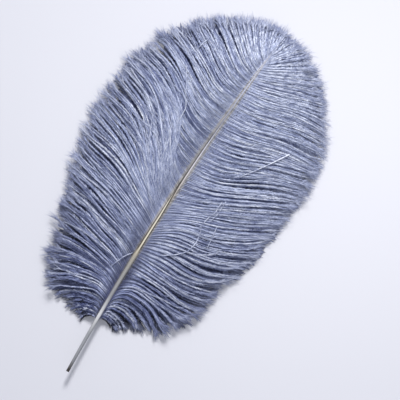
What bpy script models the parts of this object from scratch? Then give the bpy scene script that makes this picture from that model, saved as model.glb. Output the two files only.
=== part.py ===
"""A dyed ostrich plume lying flat with its grooved side up: one shaft and its two soft vanes.

The shaft is a hollow cut quill that runs on into a grooved rachis. Each vane is a thin soft sheet
that follows its barbs from the shaft to their tips. It arches up beside the shaft and rests on the
table along a flat rim. The feather points along +Y, the left vane is on -X, and Z is up. Everything
is in metres.
"""

import math

import bmesh
import bpy
from mathutils import Vector

# Driving dimensions
SHAFT_SPAN = 0.377  # cut end of the quill to the tip of the rachis, in a straight line
PLAN_BOW = 0.0065  # how far the shaft bows to the left of that line
SHAFT_LOW = 0.0075  # height of the shaft's axis at its lowest point
QUILL_RISE = 0.0035  # how much higher the cut end lies
TIP_RISE = 0.0095  # how much higher the rachis tip lies
LOW_AT = 0.42  # where along the shaft the lowest point is
CUT_RADIUS = 0.00155  # the quill narrows a little towards its cut end
TIP_RADIUS = 0.00035
# Half the shaft's width, along it from the cut end (0) to the tip (1)
SHAFT_RADII = [
    (0, CUT_RADIUS),
    (0.14, 0.00185),
    (0.36, 0.00215),
    (0.47, 0.00195),
    (0.62, 0.0014),
    (0.82, 0.0008),
    (1, TIP_RADIUS),
]
LUMEN_RADIUS = 0.00085  # the hole that shows in the cut end
LUMEN_DEPTH = 0.007
GROOVE_FROM = 0.355  # where the groove starts, along the shaft
GROOVE_RAMP = 0.06  # the stretch over which it reaches its full depth
GROOVE_DEPTH = 0.42  # in shaft radii
GROOVE_HALF_ANGLE = math.radians(24)
ROUND = 2  # power of the section's outline on the quill
SQUARE = 3.2  # and on the rachis
RACHIS_FLATNESS = 0.82  # height of the rachis as a share of its width, where the quill is round
SQUARE_RAMP = 0.2  # the stretch over which both change, from the lowest barbs on

VANE_FROM = 0.205  # where the lowest barbs leave the shaft
VANE_WIDTH = {"left": 0.116, "right": 0.102}  # from the shaft's straight line to the widest barb tips
TIP_REACH = 0.020  # how far the last barbs reach past the rachis tip
BASE_REACH = 0.024  # how far the lowest barbs hang back past their roots
WIDEST_AT = 0.6  # where the feather is widest, from those hanging tips (0) to the furthest tip (1)
BASE_SHARE = 0.56  # width at the hanging tips, as a share of the greatest width
TIP_TAPER = 2.2  # powers of the outline from there to the tip: a higher one keeps it wide for longer
TIP_POINT = 0.55  # and a lower one makes the tip blunter
CROWN = 0.0125  # how far the vane's middle stands over a smooth slope from shaft to edge
CROWN_FULL_BY = 0.25  # the share of the vane, from its lowest barb, over which the crown grows
CROWN_FADES_FROM = 0.7  # where it starts to get lower again, towards the tip
CROWN_FADE = 0.55  # the share of it that is gone at the tip
CROWN_SKEW = 0.8  # power below 1, which moves the crown towards the shaft
ROOT_HEIGHT = 0.35  # where the barbs join the shaft, in shaft radii over its axis
EDGE_HEIGHT = 0.0035  # height of the vane's top at its barb tips
VANE_THICKNESS = 0.0014  # of the sheet inside the rim
GAP = 0.0003  # clear space between the shaft and each vane

# How the barbs lie: their headings off the shaft's, in degrees, where they leave it, at MIDDLE_AT along
# them and at their ends, each as (place, heading) points from the lowest barb (0) to the one at the tip (1)
MIDDLE_AT = 0.42
BARBS = {
    "right": {
        "leave": [(0, 18), (0.06, 45), (0.17, 88), (0.27, 50), (0.4, 67), (0.55, 88), (0.8, 88), (0.92, 64), (1, 0)],
        "middle": [(0, 95), (0.07, 96), (0.18, 92), (0.32, 70), (0.43, 60), (0.7, 71), (0.82, 74), (0.92, 54), (1, 0)],
        "end": [(0, 135), (0.05, 105), (0.12, 82), (0.27, 60), (0.38, 64), (0.58, 76), (0.75, 87), (0.88, 70), (0.94, 45), (1, 0)],
    },
    "left": {
        "leave": [(0, 62), (0.06, 70), (0.2, 62), (0.45, 70), (0.7, 82), (0.86, 82), (0.94, 66), (1, 0)],
        "middle": [(0, 106), (0.04, 92), (0.1, 82), (0.22, 72), (0.3, 75), (0.5, 59), (0.72, 70), (0.85, 68), (0.94, 42), (1, 0)],
        "end": [(0, 134), (0.05, 104), (0.11, 84), (0.24, 82), (0.42, 72), (0.54, 70), (0.67, 80), (0.82, 70), (0.92, 52), (1, 0)],
    },
}
LONGEST_BARB = 0.24  # longer than any barb, for the search in barb_path
HALVINGS = 24  # steps of that search, which end far below a hair's width

# How finely the solids are cut
SHAFT_RINGS = 64
RING_POINTS = 16
VANE_ROWS = 34
VANE_COLUMNS = 12  # the last one is the rim
ROWS_TO_TIP = 0.6  # power below 1, which sets the rows closer where the barbs fan out at the tip
PATH_STEPS = 48  # steps in which a barb's path is added up, a multiple of the columns
SHARP = math.radians(35)  # edges that turn further than this aren't shaded smooth

IVORY = (0.52, 0.45, 0.33)
SLATE_LAVENDER = (0.25, 0.28, 0.45)


def smooth(x):
    """0 to 1 with soft ends."""
    x = min(max(x, 0.0), 1.0)
    return x * x * (3 - 2 * x)


def slope(points, i):
    """The slope at point i of a smooth line through (place, value) points, level where it turns back."""
    if i in (0, len(points) - 1):
        return 0.0
    (x0, y0), (x1, y1), (x2, y2) = points[i - 1 : i + 2]
    before, after = (y1 - y0) / (x1 - x0), (y2 - y1) / (x2 - x1)
    return 2 * before * after / (before + after) if before * after > 0 else 0.0


def along(points, x):
    """The value at x of a smooth line through (place, value) points, with no overshoot."""
    i = max(k for k in range(len(points) - 1) if k == 0 or points[k][0] <= x)
    (x0, y0), (x1, y1) = points[i], points[i + 1]
    step = x1 - x0
    s = (x - x0) / step
    bend = s * (1 - s) ** 2 * slope(points, i) - s * s * (1 - s) * slope(points, i + 1)
    return y0 + (y1 - y0) * smooth(s) + step * bend


def shaft_point(t):
    """The shaft's axis, from the middle of its cut end (0) to its tip (1)."""
    x = -PLAN_BOW * 4 * t * (1 - t)
    if t < LOW_AT:
        rise = QUILL_RISE * (1 - t / LOW_AT) ** 2
    else:
        rise = TIP_RISE * ((t - LOW_AT) / (1 - LOW_AT)) ** 2
    return Vector((x, SHAFT_SPAN * t, SHAFT_LOW + rise))


def shaft_heading(t):
    """The shaft's direction in plan, as an angle turned from +Y towards -X."""
    return math.atan2(PLAN_BOW * 4 * (1 - 2 * t), SHAFT_SPAN)


def shaft_radius(t):
    """Half the shaft's width: full where the groove starts, and tapering from there to the tip."""
    return along(SHAFT_RADII, t)


def shaft_ring(t):
    """The points of the shaft's section: round on the quill, squarer and grooved along the rachis."""
    rachis = smooth((t - VANE_FROM) / SQUARE_RAMP)
    power = ROUND + (SQUARE - ROUND) * rachis
    flatness = 1 + (RACHIS_FLATNESS - 1) * rachis
    depth = GROOVE_DEPTH * smooth((t - GROOVE_FROM) / GROOVE_RAMP)
    centre, radius, turn = shaft_point(t), shaft_radius(t), shaft_heading(t)
    points = []
    for i in range(RING_POINTS):
        angle = math.pi / 2 + 2 * math.pi * i / RING_POINTS
        c, s = math.cos(angle), math.sin(angle)
        reach = radius / (abs(c) ** power + abs(s) ** power) ** (1 / power)
        off_top = abs((angle - math.pi / 2 + math.pi) % (2 * math.pi) - math.pi)
        reach -= radius * depth * max(0.0, 1 - off_top / GROOVE_HALF_ANGLE)
        side, up = reach * c, reach * s * flatness
        points.append(centre + Vector((side * math.cos(turn), side * math.sin(turn), up)))
    return points


def vane_width(side, y):
    """The outline of a vane's barb tips: how far it reaches from the shaft's straight line at y."""
    low, high = SHAFT_SPAN * VANE_FROM - BASE_REACH, SHAFT_SPAN + TIP_REACH
    s = min(max((y - low) / (high - low), 0.0), 1.0)
    if s < WIDEST_AT:
        return VANE_WIDTH[side] * (BASE_SHARE + (1 - BASE_SHARE) * math.sin(math.pi / 2 * s / WIDEST_AT))
    return VANE_WIDTH[side] * (1 - ((s - WIDEST_AT) / (1 - WIDEST_AT)) ** TIP_TAPER) ** TIP_POINT


def barb_of_length(side, v, length):
    """The plan of a barb of this length at v, 0 to 1 along its vane, as points from shaft to tip."""
    sign = -1 if side == "left" else 1
    t = VANE_FROM + (1 - VANE_FROM) * v
    turn = shaft_heading(t)
    leave, middle, end = (along(BARBS[side][name], v) for name in ("leave", "middle", "end"))
    x = shaft_point(t).x + sign * (shaft_radius(t) + GAP)
    y = shaft_point(t).y
    path = [(x, y)]
    for i in range(PATH_STEPS):
        u = (i + 0.5) / PATH_STEPS
        heading = leave + (middle - leave) * smooth(u / MIDDLE_AT)
        heading += (end - middle) * smooth((u - MIDDLE_AT) / (1 - MIDDLE_AT))
        angle = sign * math.radians(heading) - turn
        x += length / PATH_STEPS * math.sin(angle)
        y += length / PATH_STEPS * math.cos(angle)
        path.append((x, y))
    return path


def barb_path(side, v):
    """The plan of the barb at v, grown until its tip meets the feather's outline."""
    low, high = 0.0, LONGEST_BARB
    for _ in range(HALVINGS):
        length = (low + high) / 2
        x, y = barb_of_length(side, v, length)[-1]
        inside = abs(x) < vane_width(side, y) and y < SHAFT_SPAN + TIP_REACH
        low, high = (length, high) if inside else (low, length)
    return barb_of_length(side, v, low)


def vane_height(v, u):
    """The vane's top, at the share u of the way along the barb at v."""
    t = VANE_FROM + (1 - VANE_FROM) * v
    at_shaft = shaft_point(t).z + ROOT_HEIGHT * shaft_radius(t)
    fade = CROWN_FADE * smooth((v - CROWN_FADES_FROM) / (1 - CROWN_FADES_FROM))
    crown = CROWN * smooth(v / CROWN_FULL_BY) * (1 - fade)
    return at_shaft + (EDGE_HEIGHT - at_shaft) * smooth(u) + crown * math.sin(math.pi * u**CROWN_SKEW)


def vane_underside(v, u):
    """The vane's underside: flat on the table along the rim, and elsewhere a sheet's thickness down."""
    on_rim = u > 1 - 1.5 / VANE_COLUMNS
    return 0.0 if on_rim else max(0.0, vane_height(v, u) - VANE_THICKNESS)


def material(name, colour, roughness):
    made = bpy.data.materials.new(name)
    made.use_nodes = True
    shader = made.node_tree.nodes["Principled BSDF"]
    shader.inputs["Base Color"].default_value = (*colour, 1)
    shader.inputs["Roughness"].default_value = roughness
    shader.inputs["Metallic"].default_value = 0
    made.diffuse_color = (*colour, 1)
    return made


def placed(name, bm, finish, parent):
    """The object made from bm, with its faces pointing out and its round sides shaded smooth."""
    bmesh.ops.recalc_face_normals(bm, faces=bm.faces)
    mesh = bpy.data.meshes.new(name)
    bm.to_mesh(mesh)
    bm.free()
    mesh.shade_smooth()
    mesh.set_sharp_from_angle(angle=SHARP)
    mesh.materials.append(finish)
    made = bpy.data.objects.new(name, mesh)
    bpy.context.scene.collection.objects.link(made)
    made.parent = parent
    return made


def closed_loop(bm, points):
    """A ring of edges through the points."""
    verts = [bm.verts.new(p) for p in points]
    return [bm.edges.new((a, b)) for a, b in zip(verts, verts[1:] + verts[:1])]


def build_shaft(parent):
    """The quill and rachis as bridged rings, capped at the tip and bored at the cut end."""
    bm = bmesh.new()
    rings = [closed_loop(bm, shaft_ring(i / SHAFT_RINGS)) for i in range(SHAFT_RINGS + 1)]
    for near, far in zip(rings, rings[1:]):
        bmesh.ops.bridge_loops(bm, edges=near + far)
    bmesh.ops.contextual_create(bm, geom=rings[-1])
    cut = bmesh.ops.contextual_create(bm, geom=rings[0])["faces"]
    bmesh.ops.inset_region(bm, faces=cut, thickness=CUT_RADIUS - LUMEN_RADIUS)
    bored = bmesh.ops.extrude_discrete_faces(bm, faces=cut)["faces"]
    inwards = (shaft_point(0.02) - shaft_point(0)).normalized() * LUMEN_DEPTH
    bmesh.ops.translate(bm, verts=bored[0].verts, vec=inwards)
    keratin = material("quill_keratin", IVORY, roughness=0.42)
    return placed("shaft", bm, keratin, parent)


def build_vane(side, parent):
    """A grid laid along the barbs for the top, thickened downwards into a sheet."""
    bm = bmesh.new()
    place = bm.verts.layers.float_vector.new("place")  # along the shaft, out along the barb, unused
    bmesh.ops.create_grid(bm, x_segments=VANE_ROWS, y_segments=VANE_COLUMNS, size=1)
    barbs = [barb_path(side, (row / VANE_ROWS) ** ROWS_TO_TIP) for row in range(VANE_ROWS + 1)]
    for vert in bm.verts:
        across, out = (vert.co.x + 1) / 2, (vert.co.y + 1) / 2
        x, y = barbs[round(across * VANE_ROWS)][round(out * PATH_STEPS)]
        vert[place] = (across**ROWS_TO_TIP, out, 0)
        vert.co = (x, y, vane_height(*vert[place][:2]))
    drawn = bmesh.ops.extrude_face_region(bm, geom=bm.faces[:])["geom"]
    for vert in drawn:
        if isinstance(vert, bmesh.types.BMVert):
            vert.co.z = vane_underside(*vert[place][:2])
    dyed = material(f"{side}_barbs", SLATE_LAVENDER, roughness=0.8)
    return placed(f"{side}_vane", bm, dyed, parent)


def set_origin(parent, pieces):
    """Moves the whole feather so that the middle of its footprint is at x = y = 0."""
    corners = [vert.co for piece in pieces for vert in piece.data.vertices]
    for axis in (0, 1):
        low, high = min(c[axis] for c in corners), max(c[axis] for c in corners)
        parent.location[axis] = -(low + high) / 2


def main():
    for old in list(bpy.data.objects):
        bpy.data.objects.remove(old)
    feather = bpy.data.objects.new("feather", None)
    bpy.context.scene.collection.objects.link(feather)
    pieces = [build_shaft(feather), build_vane("left", feather), build_vane("right", feather)]
    set_origin(feather, pieces)
    bpy.context.view_layer.update()


main()
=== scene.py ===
"""The looks of a dyed ostrich plume that lies on a table with its grooved side up.

The shaft is one keratin stalk, a cut quill that runs on into a grooved rachis. Each vane is a few
hundred barbs in layers: a bed below its lowest fluff, an under layer that lies in shade, a top layer
whose barbs lean together into narrow locks, short fluff on the end of the quill, and loose barbs that lie
on those. A barb is a thin stem with hundreds of barbules, which are laid many times over from one small
shape. Everything is in metres, and the feather points along +Y.
"""

import math

import bmesh
import bpy
import numpy as np
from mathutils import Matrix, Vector


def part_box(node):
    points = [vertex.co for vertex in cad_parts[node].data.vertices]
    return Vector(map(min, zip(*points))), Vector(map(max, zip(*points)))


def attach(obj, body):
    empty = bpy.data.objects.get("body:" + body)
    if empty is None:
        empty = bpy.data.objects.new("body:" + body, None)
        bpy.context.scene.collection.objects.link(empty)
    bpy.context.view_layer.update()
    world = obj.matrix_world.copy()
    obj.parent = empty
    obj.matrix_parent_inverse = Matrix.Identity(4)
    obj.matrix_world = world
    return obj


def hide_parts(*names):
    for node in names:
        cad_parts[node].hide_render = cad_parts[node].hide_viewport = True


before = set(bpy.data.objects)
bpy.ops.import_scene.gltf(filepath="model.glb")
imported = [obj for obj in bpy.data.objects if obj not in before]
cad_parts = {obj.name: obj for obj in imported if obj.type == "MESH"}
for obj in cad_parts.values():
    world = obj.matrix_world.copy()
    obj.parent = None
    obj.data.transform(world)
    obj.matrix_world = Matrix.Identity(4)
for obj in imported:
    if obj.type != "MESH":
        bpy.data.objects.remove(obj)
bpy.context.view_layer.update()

# The feather's plan and heights, as its solids have them
SHAFT_SPAN = 0.377
PLAN_BOW = 0.0065
SHAFT_LOW = 0.0075
QUILL_RISE = 0.0035
TIP_RISE = 0.0095
LOW_AT = 0.42
CUT_RADIUS = 0.00155
TIP_RADIUS = 0.00035
SHAFT_RADII = [
    (0, CUT_RADIUS), (0.14, 0.00185), (0.36, 0.00215), (0.47, 0.00195), (0.62, 0.0014), (0.82, 0.0008),
    (1, TIP_RADIUS),
]
LUMEN_RADIUS = 0.00085
LUMEN_DEPTH = 0.007
ROUND = 2
SQUARE = 3.2
RACHIS_FLATNESS = 0.82
SQUARE_RAMP = 0.2
VANE_FROM = 0.205
VANE_WIDTH = {"left": 0.116, "right": 0.102}
TIP_REACH = 0.02
BASE_REACH = 0.024
WIDEST_AT = 0.6
BASE_SHARE = 0.56
TIP_TAPER = 2.2
TIP_POINT = 0.55
CROWN = 0.0125
CROWN_FULL_BY = 0.25
CROWN_FADES_FROM = 0.7
CROWN_FADE = 0.55
CROWN_SKEW = 0.8
ROOT_HEIGHT = 0.35
EDGE_HEIGHT = 0.0035

# How the barbs lie: their headings off the shaft's, in degrees, where they leave it, at MIDDLE_AT along
# them and at their ends, each as (place, heading) points from the base of the vane to its tip
MIDDLE_AT = 0.42
BARBS = {
    "right": {
        "leave": [
            (0, 18), (0.06, 45), (0.17, 88), (0.27, 50), (0.4, 67), (0.55, 88), (0.8, 88), (0.92, 64),
            (1, 0),
        ],
        "middle": [
            (0, 95), (0.07, 96), (0.18, 92), (0.32, 70), (0.43, 60), (0.7, 66), (0.82, 67), (0.92, 54),
            (1, 0),
        ],
        "end": [
            (0, 135), (0.05, 105), (0.12, 82), (0.27, 60), (0.38, 64), (0.58, 76), (0.75, 87), (0.88, 70),
            (0.94, 45), (1, 0),
        ],
    },
    "left": {
        "leave": [
            (0, 62), (0.06, 56), (0.14, 56), (0.26, 64), (0.33, 60), (0.45, 66), (0.6, 84), (0.8, 96),
            (0.88, 88), (0.94, 60), (1, 0),
        ],
        "middle": [
            (0, 106), (0.04, 92), (0.1, 79), (0.2, 72), (0.28, 70), (0.34, 52), (0.4, 34), (0.47, 36),
            (0.56, 47), (0.66, 56), (0.76, 63), (0.85, 60), (0.94, 42), (1, 0),
        ],
        "end": [
            (0, 134), (0.05, 104), (0.11, 84), (0.24, 82), (0.45, 80), (0.56, 80), (0.68, 78), (0.82, 70),
            (0.92, 52), (1, 0),
        ],
    },
}
LONGEST_BARB = 0.24
HALVINGS = 24

# The shaft's surface. Its grooves start GROOVES_APART degrees off its top, and between LEAN_IN and
# LEAN_OUT they go GROOVES_LEAN degrees to the left
SHAFT_SIDES = 48
SHAFT_ROWS = 170
GROOVES_FROM = 0.355
GROOVES_DEEP_OVER = 0.03
GROOVES_CLOSE_FROM = 0.48
GROOVES_MEET = 0.64
GROOVES_APART = 37
GROOVES_LEAN = 28
LEAN_IN = (0.46, 0.58)
LEAN_OUT = (0.68, 0.8)
GROOVE_HALF_ANGLE = 13
GROOVE_DEPTH = 0.3  # in shaft radii
LUMEN_FLARE = 1.15  # the hollow's mouth and the cut's edge, as shares of their radii
CUT_EDGE = 0.93
MOUTH_DEPTH = 0.001  # along the shaft, as a share of it
LUMEN_SHARE = 0.03  # of the shaft's map, along V
SHARP_FROM = 50  # degrees
MERGED = 0.000005

# The layers of each vane. A lock holds one of the given numbers of barbs, and part is how far a slit
# beside it can push them aside, in metres. Wander is how far a lock may turn off its neighbours' way, and
# ahead how far it leans towards the feather's tip at AHEAD_AT along it and at its end, in degrees.
# Lengths are shares of what the outline allows. Between is where along the vane the barbs grow, below 0
# on the quill. Level is how high the layer lies, as a share of the vane's height, and lift how high over
# the top layer. Barbules are given per millimetre of barb, with their reach, width and lean off it: fewer
# and ten times wider than real ones, which are too fine to show. Shades is the layer's share of the
# dye's range, from deep (0) to pale (1); the deep shares of the bed and the under layer are painted
# shade, for the shade those layers lie in. Stem is the width of the barb itself.
SEED = 13
LAYERS = {
    "bed": {
        "barbs": 26, "locks": (1, 2), "part": 0.0, "wander": 10, "lengths": (0.7, 1.0), "level": 0.4,
        "between": (-0.06, 0.06), "barbules": 2.7, "reach": 0.0055, "width": 0.001, "lean": 46,
        "shades": (0.0, 0.2), "stem": 0.0003,
    },
    "under": {
        "barbs": 106, "locks": (2, 3, 4), "part": 0.0005, "wander": 3, "lengths": (0.9, 1.02), "level": 0.5,
        "barbules": 2.7, "reach": 0.0055, "width": 0.0015, "lean": 46, "shades": (0.0, 0.22), "stem": 0.0003,
    },
    "top": {
        "barbs": 300, "locks": (2, 3, 3, 4), "part": 0.001, "wander": 2.5, "lengths": (0.93, 1.03),
        "level": 0.84, "barbules": 4.95, "reach": 0.0019, "width": 0.0003, "lean": 30,
        "shades": (0.26, 0.97), "stem": 0.00078,
    },
    "fluff": {
        "barbs": 46, "locks": (1, 2), "part": 0.0, "wander": 12, "lengths": (0.7, 1.15), "level": 0.7,
        "between": (-0.06, 0.06), "barbules": 4.6, "reach": 0.0028, "width": 0.0003, "lean": 32,
        "shades": (0.15, 0.95), "stem": 0.0006,
    },
    "loose": {
        "barbs": 15, "locks": (1,), "part": 0.0, "wander": 20, "lengths": (0.5, 0.9), "lift": 0.001,
        "between": (0.06, 0.9), "barbules": 4.0, "reach": 0.0022, "width": 0.00025, "lean": 26,
        "shades": (0.6, 0.97), "stem": 0.0005,
    },
    "fan": {
        "barbs": 40, "locks": (1, 2, 3), "part": 0.0008, "wander": 9, "lengths": (0.55, 0.92), "lift": 0.0008,
        "between": (0.33, 0.5), "ahead": (18, 6), "barbules": 3.6, "reach": 0.003, "width": 0.00025,
        "lean": 28, "shades": (0.42, 0.92), "stem": 0.0004,
    },
    "stray": {
        "lift": 0.0016, "barbules": 8.0, "reach": 0.0012, "width": 0.0003, "lean": 20, "shades": (0.86, 0.9),
    },
}
LAYER_NAMES = list(LAYERS)
GROWN = {"right": ("bed", "under", "top", "fluff", "loose")}
GROWN["left"] = GROWN["right"] + ("fan",)  # of barbs that strayed over their neighbours

# Single barbs that lie across the others: their widths at the root, and then points in plan, in metres
# right of and beyond the quill's cut end
ACROSS = {
    "right": [
        (0.0019, (0.069, 0.300), (0.055, 0.277), (0.040, 0.255)),
        (0.0013, (0.041, 0.226), (0.041, 0.214), (0.039, 0.203)),
        (0.0010, (0.038, 0.224), (0.038, 0.213), (0.035, 0.203), (0.033, 0.192)),
        (0.0011, (0.014, 0.146), (0.029, 0.157), (0.036, 0.166), (0.038, 0.176), (0.037, 0.184),
            (0.034, 0.192)),
        (0.0009, (0.047, 0.200), (0.049, 0.188), (0.050, 0.177)),
    ],
    "left": [
        (0.0011, (-0.009, 0.134), (-0.014, 0.127), (-0.020, 0.112)),
        (0.0009, (-0.064, 0.339), (-0.063, 0.346), (-0.061, 0.352)),
        (0.0009, (-0.036, 0.229), (-0.038, 0.241), (-0.043, 0.256), (-0.051, 0.271)),
        (0.0011, (-0.041, 0.267), (-0.042, 0.281), (-0.049, 0.293), (-0.057, 0.307), (-0.064, 0.318)),
        (0.0009, (-0.049, 0.223), (-0.056, 0.238), (-0.063, 0.252)),
    ],
}

# Where the barbs grow and how long they are
PATH_STEPS = 28
ROOT_SPREAD = 0.12  # 1 spreads the barbs' roots evenly along the shaft, 0 their widest stretches
MORE_BARBS = {"right": 1.0, "left": 1.15}  # as shares of the numbers of the under and the top layer
SHORT_AT_BASE = ((-0.06, 0.0, 0.04), (0.3, 0.9, 1.0))  # places along the vane, and shares of length
LOCKS_LENGTH = 0.4  # how much of the difference in length goes by lock, and not by barb
SCALLOPS = 11  # the outline swells and dips that many times, by SCALLOP of a barb's length
SCALLOP = 0.028

# How they wave: the whole vane together, groups of GROUP_LOCKS locks, and lock by lock, each as degrees,
# times along a barb, and how soon after its root, where less is sooner
VANE_WAVES = 9  # across the barbs
VANE_WAVE = (5, 3, 0.7)
GROUP_LOCKS = 3
GROUP_WAVE = (5, 5, 0.5)
LOCK_WAVE = (3, 6, 0.4)
LOCKS_WANDER = {"right": 1.0, "left": 0.45}  # the locks' share of their layer's wander, above the base
STRAGGLE = {"right": 3.0, "left": 6.0}  # how far single barbs turn off, in degrees
FLICK = 20  # how far a lock's ends may turn towards the feather's tip, in degrees,
FLICK_OVER = 0.15  # over that last share of them
AHEAD_AT = 0.3

# The lowest part of the vane is fluffier
BASE_SHARE_V = 0.3
BASE_EXTRA = 1  # barbs more in each lock
BASE_ROUGHNESS = 1.5  # how much more the barbs wave
BASE_PUFF = 0.002  # how much higher the top layer lies,
PUFF_OVER = 0.2  # from that far out along the barbs
TUFTS = 0.8  # how close a lock's barbs come together in a tuft, from TUFT_FROM along them,
TUFT_FROM = 0.4  # and fully TUFT_OVER further
TUFT_OVER = 0.5
TUFTS_SHORTER = 0.14  # the most that a tuft is shorter than the others

# Slits between the locks. A border has room for SLITS_ALONG of them, and has fewer where SLIT_FROM is
# higher, given as (place, value) points from the base of the vane to its tip. They gather here and there,
# in GATHERINGS places across the barbs and along them
SLITS_ALONG = 7
SLITS_GATHER = 0.12
GATHERINGS = (5, 3)
SLIT_FROM = {
    "right": [(0, 0.24), (0.3, 0.5), (0.52, 0.55), (0.68, 0.7), (0.85, 0.74), (1, 0.74)],
    "left": [(0, 0.34), (0.15, 0.58), (0.3, 0.7), (0.45, 0.76), (1, 0.74)],
}
SLIT_SOFTNESS = 0.35
SLIT_WIDTH = {"right": 0.95, "left": 0.45}  # as a share of the layers' widest
SLIT_ROOT = (0.08, 0.25)  # they open from that far along a barb, over that much of it,
SLIT_END = 0.15  # and close over that last share
SLIT_SQUEEZE = 0.9  # the most that a slit takes of half a lock
ALWAYS_PARTED = 0.2  # how far all locks part, as a share of a slit
LOCK_LESS = {"right": 0, "left": 2}  # that many barbs fewer in each lock
ENDS = 0.2  # over that last share of the barbs a lock draws together and curls up
ENDS_MEET = 0.4
ENDS_CURL = 0.004

# Heights: a lock stands over the gaps beside it by RIDGE, and locks differ by LOCK_LEVEL. Pairs of locks
# and single ones swell, each by a height and that many times along a barb
RIDGE = 0.0016
LOCK_LEVEL = 0.0004
PAIR_SWELL = (0.0009, 6)
LOCK_SWELL = (0.0005, 7)
RISE_OVER = 0.1  # all of that from that far out along the barbs
ROOT_OVER = 0.14  # and there they have risen from the shaft to their layer
DEEP_ROOT = -0.3  # the hidden layers' roots on the shaft, in its radii
NEAREST = 12  # a loose barb lies at the mean height of that many points below it
TABLE_CLEARANCE = 0.0005
BARB_CLEARANCE = 2.5 * TABLE_CLEARANCE

# Painted light and shade: the barbs in the middle of a lock, on its crest, are made palest and those at
# its edges deeper, but locks and single barbs also differ by chance
RIDGE_PAINTED_LIGHT = 1.2
LOCK_TONE = 0.2
BARB_TONE = 0.3

# Stems
STEM_TIP_WIDTH = 0.00025
STEM_TAPER = 0.8
THIN_STEM = 0.4  # the width of a layer's darker half, as a share of the paler ones'
ROOT_FLARE = 1.9  # how much thicker a barb is where it joins the shaft
HIDDEN_STEPS = 4  # hidden stems have one joint for that many of the others

# Barbules, in shares of their layer's reach where nothing else is said
BARE_ROOT = 0.0012  # they start that far out along a barb,
LAST_U = 0.999  # and end at that share of it
BARBULE_SKEW = 1.25  # over 1, one is widest before its middle
BARBULE_SIZES = (0.6, 1.25)
BARBULE_RISE = (0.12, 0.16)  # how steeply they rise, mean and spread
BARBULE_LEAN = 8  # the spread of their lean, in degrees
BARBULE_ONWARD = 0.3  # how far they bend on along the barb,
BARBULE_DROOP = (0.25, 0.75)  # and down
BARBULE_ROLL = 0.35
AT_SHAFT = 0.5  # how long they are beside the shaft,
AT_SHAFT_OVER = 0.12  # and where along the barb they are full
FULLER = 0.3  # how much longer from FULLER_FROM along a barb, and fully FULLER_OVER further
FULLER_FROM = 0.3
FULLER_OVER = 0.4
NEAR_TIP = 0.25  # over that last share of a barb they are shorter and lie closer to it
TIP_SHORTER = 0.2
TIP_CLOSER = 0.35

# Each top barb ends in a brush of slivers, and some of them in a long hair
BRUSH = 16
BRUSH_FROM = 0.94
BRUSH_REACH = (0.003, 0.011)
BRUSH_WIDTH = 0.0003
BRUSH_LEAN = 40
LONG_HAIRS = 0.3
LONG_HAIR = (0.008, 0.0165)
HAIR_STEPS = 4
HAIR_WIDTH = 0.00035
HAIR_TURN = 12  # the spread of a hair's heading and of its bend, in degrees
HAIR_BEND = 24
HAIR_RISE = (-0.12, 0.1)
HAIR_CLEARANCE = 2 * TABLE_CLEARANCE

# The map of a vane's piece: each barb has a band of it, with its root at low U
BANDS = 220
MAP_MARGIN = 0.01
BAND_HALF = 0.48  # in bands
STEM_HALF = 0.12  # in halves of a band
BARBULE_FROM = 0.05
HAIR_U = 0.9
SPLIT_AT = (0.36, 0.65)  # a vane is three pieces, split at these shares of its barbs


def smooth(x):
    """0 to 1 with soft ends."""
    x = np.clip(x, 0.0, 1.0)
    return x * x * (3 - 2 * x)


def ramp(x, low, high):
    """0 up to low, 1 from high, and soft in between."""
    return smooth((x - low) / (high - low))


def along(points, x):
    """The values at x of a smooth line through (place, value) points, with no overshoot."""
    places, values = np.array(points, float).T
    x = np.clip(x, places[0], places[-1])
    steps = np.diff(values) / np.diff(places)
    before, after = steps[:-1], steps[1:]
    total = np.where(before + after == 0, 1, before + after)
    slopes = np.concatenate([[0], np.where(before * after > 0, 2 * before * after / total, 0), [0]])
    i = np.clip(np.searchsorted(places, x, side="right") - 1, 0, len(places) - 2)
    step = places[i + 1] - places[i]
    s = (x - places[i]) / step
    bend = s * (1 - s) ** 2 * slopes[i] - s * s * (1 - s) * slopes[i + 1]
    return values[i] + (values[i + 1] - values[i]) * smooth(s) + step * bend


def at_end(x, last):
    """0 up to the last share of a barb, and 1 at its end."""
    return smooth((x - (1 - last)) / last)


def unit(vectors):
    return vectors / np.linalg.norm(vectors, axis=-1, keepdims=True)


def middle_of_cut_end():
    """Where the shaft starts, in plan: the middle of the points at the CAD shaft's low end."""
    low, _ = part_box("shaft")
    points = np.array([v.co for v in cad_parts["shaft"].data.vertices])
    cut = points[points[:, 1] < low.y + CUT_RADIUS / 3]
    return (cut[:, 0].min() + cut[:, 0].max()) / 2, low.y


START_X, START_Y = middle_of_cut_end()


def shaft_point(t):
    """The shaft's axis, from the middle of its cut end (0) to its tip (1)."""
    t = np.asarray(t, float)
    to_quill = QUILL_RISE * np.clip(1 - t / LOW_AT, 0, None) ** 2
    to_tip = TIP_RISE * np.clip((t - LOW_AT) / (1 - LOW_AT), 0, None) ** 2
    x = START_X - PLAN_BOW * 4 * t * (1 - t)
    return np.stack([x, START_Y + SHAFT_SPAN * t, SHAFT_LOW + to_quill + to_tip], axis=-1)


def shaft_heading(t):
    """The shaft's direction in plan, as an angle turned from +Y towards -X."""
    return np.arctan2(PLAN_BOW * 4 * (1 - 2 * t), SHAFT_SPAN)


def shaft_radius(t):
    """Half the shaft's width, which is full where the grooves start."""
    return along(SHAFT_RADII, t)


def vane_width(side, y):
    """The outline of a vane's barb tips: how far it reaches from the shaft's straight line at y."""
    low, high = START_Y + SHAFT_SPAN * VANE_FROM - BASE_REACH, START_Y + SHAFT_SPAN + TIP_REACH
    s = np.clip((y - low) / (high - low), 0, 1)
    lower = BASE_SHARE + (1 - BASE_SHARE) * np.sin(math.pi / 2 * np.clip(s / WIDEST_AT, 0, 1))
    upper = (1 - np.clip((s - WIDEST_AT) / (1 - WIDEST_AT), 0, 1) ** TIP_TAPER) ** TIP_POINT
    return VANE_WIDTH[side] * lower * upper


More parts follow.
